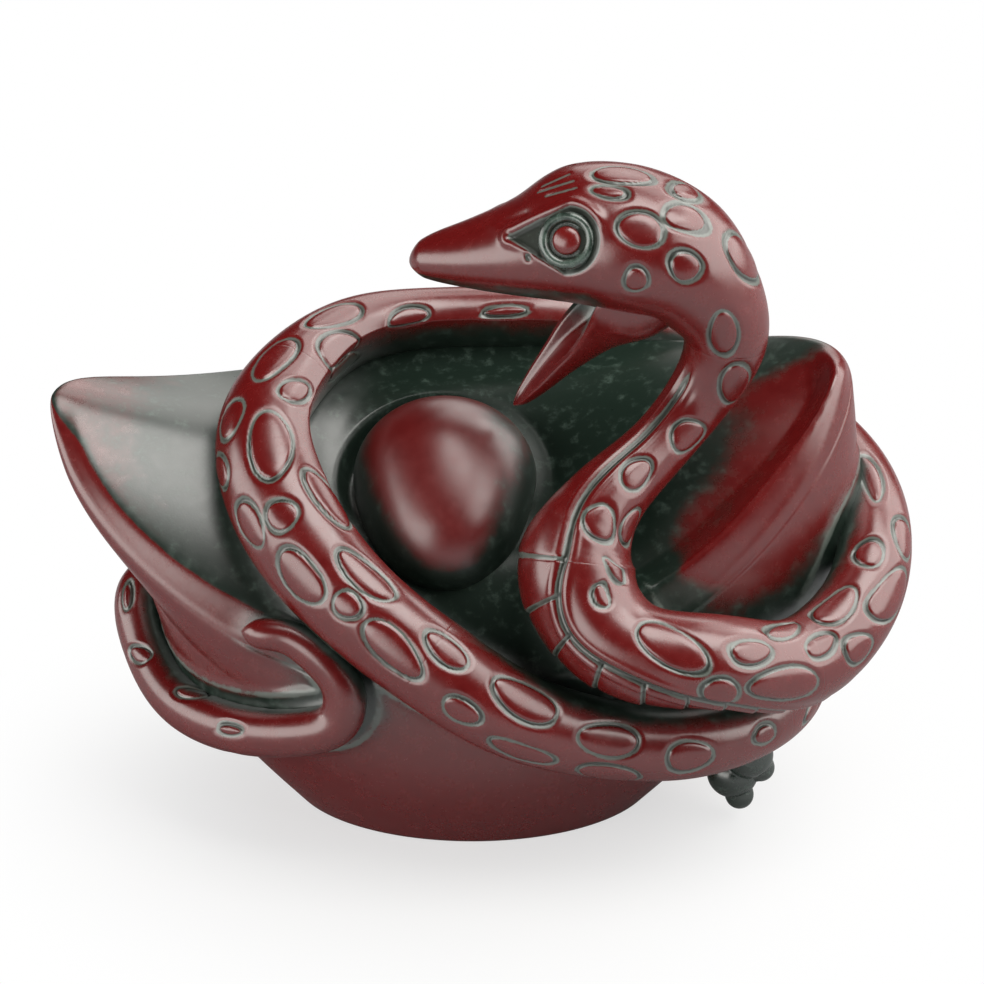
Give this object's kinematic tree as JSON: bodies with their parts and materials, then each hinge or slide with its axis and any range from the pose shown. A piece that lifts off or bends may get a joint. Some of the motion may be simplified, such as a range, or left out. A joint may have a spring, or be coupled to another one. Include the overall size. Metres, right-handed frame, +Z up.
{
  "type": "snake figurine",
  "caption": "Desk ornament: a spotted snake with an open mouth coiled over a boat-shaped ingot with a round dome, cast in dark red resin, standing on a flat oval foot.",
  "frame": {"origin": "middle of the oval foot's flat underside", "axes": "+X along the ingot's long axis to the right of the viewer, +Y away from the viewer, +Z up"},
  "size_m": [0.069, 0.0382, 0.0552],
  "materials": {
    "ingot_resin": "satin deep-red cast resin with a black-green rubbed patina in the recesses",
    "snake_resin": "satin deep-red cast resin, carved spot rings filled with black-green patina",
    "dark_resin": "near-black red resin, heavily patinated"
  },
  "bodies": {
    "root": {"ingot_hull": "ingot_resin", "ingot_dome": "ingot_resin", "left_eye": "dark_resin", "right_eye": "dark_resin", "support_lug": "dark_resin", "neck": "snake_resin", "front_loop": "snake_resin", "side_loop": "snake_resin", "back_arch": "snake_resin", "left_drop": "snake_resin", "front_band": "snake_resin", "rear_bend": "snake_resin", "rear_sweep": "snake_resin", "tail_sweep": "snake_resin", "tail_hook": "snake_resin", "head": "snake_resin", "lower_jaw": "snake_resin"}
  },
  "joints": []
}
